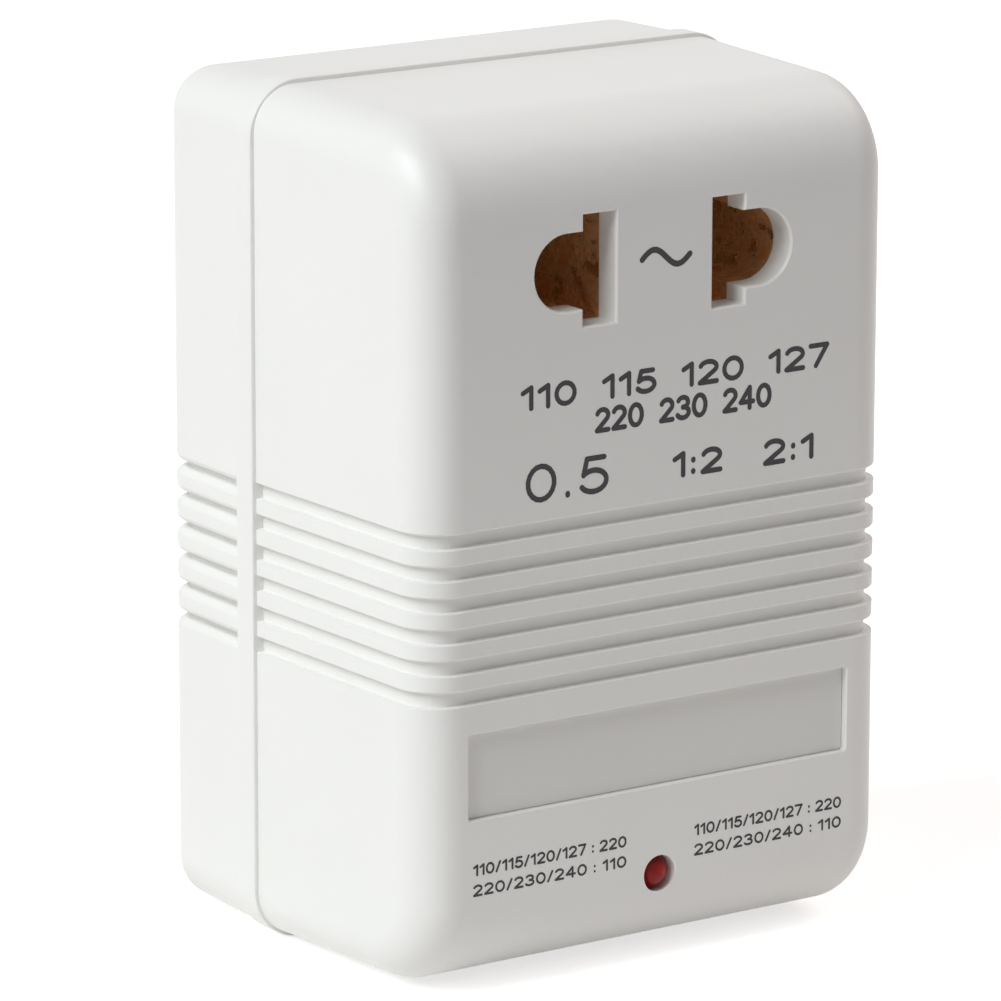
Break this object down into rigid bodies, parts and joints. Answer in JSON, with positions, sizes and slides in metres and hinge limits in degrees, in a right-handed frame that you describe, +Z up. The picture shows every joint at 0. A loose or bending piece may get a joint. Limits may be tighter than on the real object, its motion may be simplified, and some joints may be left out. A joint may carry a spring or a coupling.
{
  "type": "travel voltage converter",
  "caption": "White plug-in travel voltage converter with a universal output socket, a red lamp and a sliding selector; transformer, fuse and leads inside.",
  "frame": {"origin": "middle of the flat underside of the rim round the case, the lowest face, on which the converter stands", "axes": "+X to the right seen from the front, +Y to the back, +Z up"},
  "size_m": [0.0486, 0.0552, 0.0723],
  "materials": {
    "case_plastic": "white ABS with a fine moulded grain",
    "zinc_steel": "zinc-plated steel",
    "plate_paint": "thin sheet metal with a pale paint, left bare",
    "contact_brass": "folded brass strip",
    "inner_plastic": "dark moulded plastic",
    "nickel_brass": "nickel-plated brass strip",
    "core_steel": "varnished stack of steel laminations",
    "bobbin_plastic": "natural moulded nylon",
    "tinned_wire": "tinned metal",
    "enamelled_copper": "enamelled copper wire, wound in layers",
    "winding_tape": "yellow polyester tape",
    "lamp_plastic": "clear dark red moulded resin",
    "board_laminate": "brown paper laminate",
    "component_body": "lacquered component bodies",
    "knob_plastic": "red moulded plastic",
    "lead_jacket": "soft insulating jacket"
  },
  "bodies": {
    "case": {"front_shell": "case_plastic", "rear_shell": "case_plastic", "case_screws": "zinc_steel", "name_plate": "plate_paint", "output_contact_left": "contact_brass", "output_contact_right": "contact_brass", "contact_retainer": "inner_plastic", "contact_retainer_screws": "zinc_steel", "plug_blade_left": "nickel_brass", "plug_blade_right": "nickel_brass", "blade_retainer": "inner_plastic", "blade_retainer_screws": "zinc_steel", "core_e_stack": "core_steel", "core_i_stack": "core_steel", "core_frame": "zinc_steel", "core_frame_screws": "zinc_steel", "bobbin": "bobbin_plastic", "bobbin_pins": "tinned_wire", "common_winding": "enamelled_copper", "interlayer_tape": "winding_tape", "series_winding": "enamelled_copper", "outer_tape": "winding_tape", "thermal_fuse": "tinned_wire", "indicator_lamp": "lamp_plastic", "lamp_legs": "tinned_wire", "lamp_board": "board_laminate", "lamp_resistor": "component_body", "lamp_diode": "component_body", "selector_body": "inner_plastic", "selector_terminals": "contact_brass", "selector_frame": "zinc_steel", "selector_screws": "zinc_steel", "blade_live_lead": "lead_jacket", "output_live_lead": "lead_jacket", "blade_neutral_lead": "lead_jacket", "output_neutral_lead": "lead_jacket", "high_tap_lead": "lead_jacket", "low_tap_lead": "lead_jacket", "fuse_lead": "lead_jacket", "selector_jumpers": "lead_jacket", "lamp_leads": "lead_jacket"},
    "selector": {"selector_slider": "knob_plastic", "selector_bridges": "contact_brass"}
  },
  "joints": [
    {"name": "selector_slide", "type": "slide", "parent": "case", "child": "selector", "axis": [1, 0, 0], "range_m": [0, 0.005]}
  ]
}
